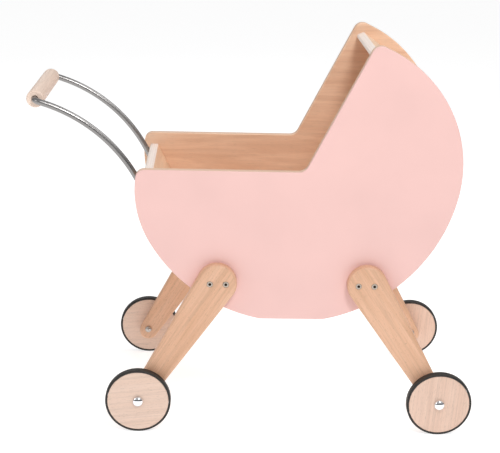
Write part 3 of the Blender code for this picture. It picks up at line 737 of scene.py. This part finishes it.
def make_wheels():
    """Wooden discs with flat rubber tyres, each on a bolt of its own."""
    for end_name, end in ENDS.items():
        disc_wood = WHEEL_GRAIN_ACROSS if end < 0 else WHEEL_GRAIN_UP
        for side_name, side in SIDES.items():
            name = f"{end_name}_{side_name}"
            axle = Vector((middle_x + end * axle_reach, 0, axle_z))
            seat = facing_y(axle + Vector((0, inner_face("wheel_disc_" + name, side), 0)), side)
            width = extent("wheel_disc_" + name, Y)
            profile = ring_profile(BOLT_HOLE_RADIUS, disc_radius, width, DISC_EDGE_RADIUS)
            disc = turned("disc_" + name, profile, WHEEL_STEPS, disc_wood, seat, closed=True)
            place(disc, "wheel_disc_" + name, "wheel_" + name)
            profile = ring_profile(disc_radius + GAP, wheel_radius, width, TYRE_EDGE_RADIUS,
                                   belt=(0.75, 0.50, 0.25))
            tyre = turned("rubber_tyre_" + name, profile, WHEEL_STEPS, RUBBER, seat,
                          closed=True)
            place(tyre, "tyre_" + name, "wheel_" + name)
            make_bolt(name, axle, side)
            make_washer(name, axle, side)
            make_cap_nut(name, axle, side)


def make_bolt(name, axle, side):
    """The domed bolt that a wheel turns on. It belongs to the pram's body."""
    node = "wheel_bolt_" + name
    seat = axle + Vector((0, outer_face(node, side) - side * BOLT_HEAD_HEIGHT, 0))
    shank = BOLT_HEAD_HEIGHT - extent(node, Y)
    profile = dome(bolt_head_radius, BOLT_HEAD_RIM, BOLT_HEAD_HEIGHT)
    profile += [(bolt_head_radius, 0), (BOLT_RADIUS, 0), (BOLT_RADIUS, shank), (0, shank)]
    bolt = turned("dome_bolt_" + name, profile, ROUND_STEPS, CHROME, facing_y(seat, side))
    place(bolt, node, "pram")


def make_washer(name, axle, side):
    """The washer between a leg and its wheel."""
    node = "washer_" + name
    seat = axle + Vector((0, inner_face(node, side), 0))
    profile = ring_profile(BOLT_HOLE_RADIUS, washer_radius, extent(node, Y), WASHER_EDGE_RADIUS)
    washer = turned("steel_washer_" + name, profile, ROUND_STEPS, BRIGHT_STEEL,
                    facing_y(seat, side), closed=True)
    place(washer, node, "pram")


def make_cap_nut(name, axle, side):
    """The domed nut on a leg's inner face, hollow where the bolt ends."""
    node = "cap_nut_" + name
    seat = axle + Vector((0, outer_face(node, side), 0))
    profile = [(0, -NUT_BORE_DEPTH), (BOLT_HOLE_RADIUS, -NUT_BORE_DEPTH),
               (BOLT_HOLE_RADIUS, 0), (nut_radius, 0)]
    profile += [(r, -h) for r, h in reversed(dome(nut_radius, NUT_RIM, nut_height))]
    nut = turned("steel_nut_" + name, profile, NUT_STEPS, NUT_STEEL, facing_y(seat, side))
    place(nut, node, "pram")


# ---------------------------------------------------------------- handle
end_board_down = polar(END_BOARD_LEAN - 90)
end_board_out = Vector((end_board_down.y, -end_board_down.x))


def rod_plane_path():
    """The rod's lower end and its long curve, in its own plane."""
    top = Vector((middle_x + END_BOARD_TOP_X, BELT_Z - END_BOARD_DROP))
    contact = top + end_board_down * ROD_CONTACT + end_board_out * (ROD_RADIUS + GAP)
    bend_centre = contact + end_board_out * ROD_BEND_RADIUS
    start = angle_of(contact - bend_centre)
    return (contact + end_board_down * ROD_TAIL,
            arc(bend_centre, ROD_BEND_RADIUS, start, start + ROD_SWEEP))


rod_tail_end, rod_curve = rod_plane_path()
grip_at = rod_curve[-1]


def rod_path(side):
    """The rod's centre line in space, bent square into the grip at its upper end."""
    y = side * rod_y
    inward = Vector((0, -side, 0))
    path = [in_space(rod_tail_end, y)]
    path += [in_space(point, y) for point in rod_curve
             if (point - grip_at).length > ROD_CORNER_ROOM * ROD_CORNER_RADIUS]
    along = in_space((rod_curve[-1] - rod_curve[-2]).normalized())
    corner = in_space(grip_at, y)
    for i in range(ROD_CORNER_STEPS + 1):
        turn = math.radians(90 * i / ROD_CORNER_STEPS)
        path.append(corner + along * ROD_CORNER_RADIUS * (math.sin(turn) - 1)
                    + inward * ROD_CORNER_RADIUS * (1 - math.cos(turn)))
    reach = rod_y - grip_half_length + GRIP_BORE_DEPTH - ROD_FROM_BORE_END
    path.append(corner + inward * reach)
    return path


def swept(path, radius):
    """A bmesh of a round bar along a path, with flat ends."""
    curve = bpy.data.curves.new("bar", "CURVE")
    curve.dimensions = "3D"
    curve.bevel_depth = radius
    curve.bevel_resolution = 10
    curve.use_fill_caps = True
    spline = curve.splines.new("POLY")
    spline.points.add(len(path) - 1)
    for point, at in zip(spline.points, path):
        point.co = (*at, 1)
    source = bpy.data.objects.new("bar", curve)
    bpy.context.scene.collection.objects.link(source)
    bpy.context.view_layer.update()
    mesh = bpy.data.meshes.new_from_object(
        source.evaluated_get(bpy.context.evaluated_depsgraph_get()))
    bm = bmesh.new()
    bm.from_mesh(mesh)
    bmesh.ops.remove_doubles(bm, verts=bm.verts, dist=MERGE)
    bpy.data.objects.remove(source, do_unlink=True)
    bpy.data.curves.remove(curve)
    bpy.data.meshes.remove(mesh)
    return bm


def make_rods():
    """Two bent steel rods with eased ends."""
    for side_name, side in SIDES.items():
        bm = swept(rod_path(side), ROD_RADIUS)
        rims = [edge for edge in bm.edges
                if edge.calc_face_angle(0) > math.radians(SHARP_ANGLE)]
        bmesh.ops.bevel(bm, geom=rims, offset=ROD_END_BEVEL, segments=3, profile=0.5,
                        affect="EDGES")
        rod = finished("steel_rod_" + side_name, bm, [STEEL])
        place(rod, "handle_rod_" + side_name, "pram")


def cross_recess(placement, top):
    """Cutters for a cross recess in a screw head, which leave its walls near-black, a painted
    shade.
    """
    cutters = []
    for turn in (CROSS_TURN, CROSS_TURN + 90):
        bm = bmesh.new()
        bmesh.ops.create_cube(bm, size=1.0)
        slot = (Matrix.Translation((0, 0, top)) @ Matrix.Rotation(math.radians(turn), 4, "Z")
                @ Matrix.Diagonal((*CROSS_SLOT, 1.0)))
        bmesh.ops.transform(bm, matrix=placement @ slot, verts=bm.verts)
        cutters.append(finished("cutter", bm, [RECESS_PAINTED_SHADE]))
    return cutters


def make_rod_screws():
    """Round-headed screws that hold the rods to the end board."""
    head = ROD_RADIUS - ROD_SCREW_SUNK
    top = head + ROD_SCREW_HEAD_HEIGHT
    tip = head - ROD_SCREW_LENGTH
    profile = dome(ROD_SCREW_HEAD_RADIUS, head + ROD_SCREW_RIM, top, 8)
    profile += [(ROD_SCREW_HEAD_RADIUS, head), (ROD_SCREW_RADIUS, head),
                (ROD_SCREW_RADIUS, tip + ROD_SCREW_POINT), (0, tip)]
    tilt = math.radians(90 - angle_of(end_board_out))
    for side_name, side in SIDES.items():
        for i, distance in enumerate(ROD_SCREW_FROM_END):
            node = f"rod_screw_{side_name}_{i + 1}"
            at = rod_tail_end - end_board_down * distance
            placement = (Matrix.Translation(in_space(at, side * rod_y))
                         @ Matrix.Rotation(tilt, 4, "Y"))
            screw = turned("steel_" + node, profile, SCREW_STEPS, BRIGHT_STEEL, placement)
            cut(screw, cross_recess(placement, top))
            place(screw, node, "pram")


def make_grip():
    """A turned wooden grip with a bore at each end for the rods."""
    half, e = grip_half_length, GRIP_EDGE_RADIUS
    bore = ROD_RADIUS + GRIP_BORE_GAP
    profile = [(0, half - GRIP_BORE_DEPTH), (bore, half - GRIP_BORE_DEPTH),
               (bore, half - GRIP_BORE_BEVEL), (bore + GRIP_BORE_BEVEL, half)]
    profile += corner_arc(grip_radius - e, half - e, e, 90, 0, 6)
    profile += [(grip_radius, half * share) for share in GRIP_RINGS]
    profile += [(radius, -height) for radius, height in reversed(profile)]
    grip = turned("wooden_grip", profile, ROUND_STEPS, GRIP_WOOD,
                  facing_y(in_space(grip_at), 1))
    place(grip, "grip", "pram")


# ---------------------------------------------------------------- stage
FLOOR_SIZE = 24.0
FLOOR_DROP = 0.0001            # below the tyres
FLOOR_GLOW = 0.69
WORLD_STRENGTH = 0.47
WORLD_SEEN = (1.8, 1.8, 1.8)   # the colour that only the camera sees
FOCAL_LENGTH = 92.88           # on a 36 mm sensor
CAMERA_PLACE = (-0.0514, -1.7052, 0.7445)
CAMERA_PITCH = 16.44           # degrees down
CAMERA_YAW = -1.67
CAMERA_ROLL = 1.39


def make_floor():
    """A plain pale floor, lit from within like a light table."""
    bm = bmesh.new()
    bmesh.ops.create_grid(bm, x_segments=1, y_segments=1, size=FLOOR_SIZE / 2)
    material, tree, shader = principled("floor", 0.9)
    speck = noise(tree, object_coordinates(tree, (0, 0, 0), (40.0, 40.0, 40.0)), 1.0, 2.0)
    tree.links.new(ramp(tree, speck, [(0.3, (0.60, 0.60, 0.60)), (0.7, (0.62, 0.62, 0.62))]),
                   shader.inputs["Base Color"])
    shader.inputs["Emission Color"].default_value = (1.0, 1.0, 1.0, 1.0)
    shader.inputs["Emission Strength"].default_value = FLOOR_GLOW
    floor = finished("floor", bm, [material])
    floor.location.z = -FLOOR_DROP


def make_world():
    """A soft white studio with dark screens round the horizon, which the metal reflects."""
    world = bpy.data.worlds.new("studio")
    world.use_nodes = True
    tree = world.node_tree
    background = tree.nodes["Background"]
    source = tree.nodes.new("ShaderNodeTexCoord")
    separate = tree.nodes.new("ShaderNodeSeparateXYZ")
    tree.links.new(source.outputs["Generated"], separate.inputs["Vector"])
    sky = ramp(tree, separate.outputs["Z"], [
        (0.00, (0.07, 0.07, 0.075)),
        (0.20, (0.13, 0.13, 0.14)),
        (0.34, (0.97, 0.97, 0.98)),
        (1.00, (1.00, 1.00, 1.00)),
    ])
    seen = tree.nodes.new("ShaderNodeLightPath").outputs["Is Camera Ray"]
    tree.links.new(mixed(tree, "MIX", seen, sky, WORLD_SEEN), background.inputs["Color"])
    background.inputs["Strength"].default_value = WORLD_STRENGTH
    bpy.context.scene.world = world


def softbox(name, place_at, target, size, power):
    """A square area light aimed at a point."""
    light = bpy.data.lights.new(name, "AREA")
    light.shape = "SQUARE"
    light.size = size
    light.energy = power
    lamp = bpy.data.objects.new(name, light)
    lamp.location = place_at
    towards = Vector(target) - Vector(place_at)
    lamp.rotation_euler = towards.to_track_quat("-Z", "Y").to_euler()
    bpy.context.scene.collection.objects.link(lamp)


def make_lights():
    """A key softbox high on the camera's side, and fills above, behind and at the left."""
    aim = (0.0, 0.0, 0.25)
    softbox("key", (0.40, -1.50, 1.80), aim, 0.42, 19.5)
    softbox("top", (0.9, 0.3, 1.8), aim, 1.2, 9)
    softbox("back", (-0.9, 1.8, 1.5), aim, 0.9, 5)
    softbox("left", (-1.9, -0.9, 1.1), aim, 0.9, 6)


def make_camera():
    """A long lens from the right-hand side, a little above the pram."""
    lens = bpy.data.cameras.new("camera")
    lens.lens = FOCAL_LENGTH
    lens.sensor_width = 36.0
    lens.clip_end = 100.0
    camera = bpy.data.objects.new("camera", lens)
    turn = (Matrix.Rotation(math.radians(CAMERA_YAW), 4, "Z")
            @ Matrix.Rotation(math.radians(90 - CAMERA_PITCH), 4, "X")
            @ Matrix.Rotation(math.radians(CAMERA_ROLL), 4, "Z"))
    camera.matrix_world = Matrix.Translation(CAMERA_PLACE) @ turn
    bpy.context.scene.collection.objects.link(camera)
    bpy.context.scene.camera = camera


# ---------------------------------------------------------------- assembly
make_camera()
make_world()
make_lights()
make_floor()
make_panels()
make_boards()
keep_dowels()
make_legs()
make_leg_screws()
make_wheels()
make_rods()
make_rod_screws()
make_grip()
bpy.context.scene.view_settings.view_transform = "Standard"
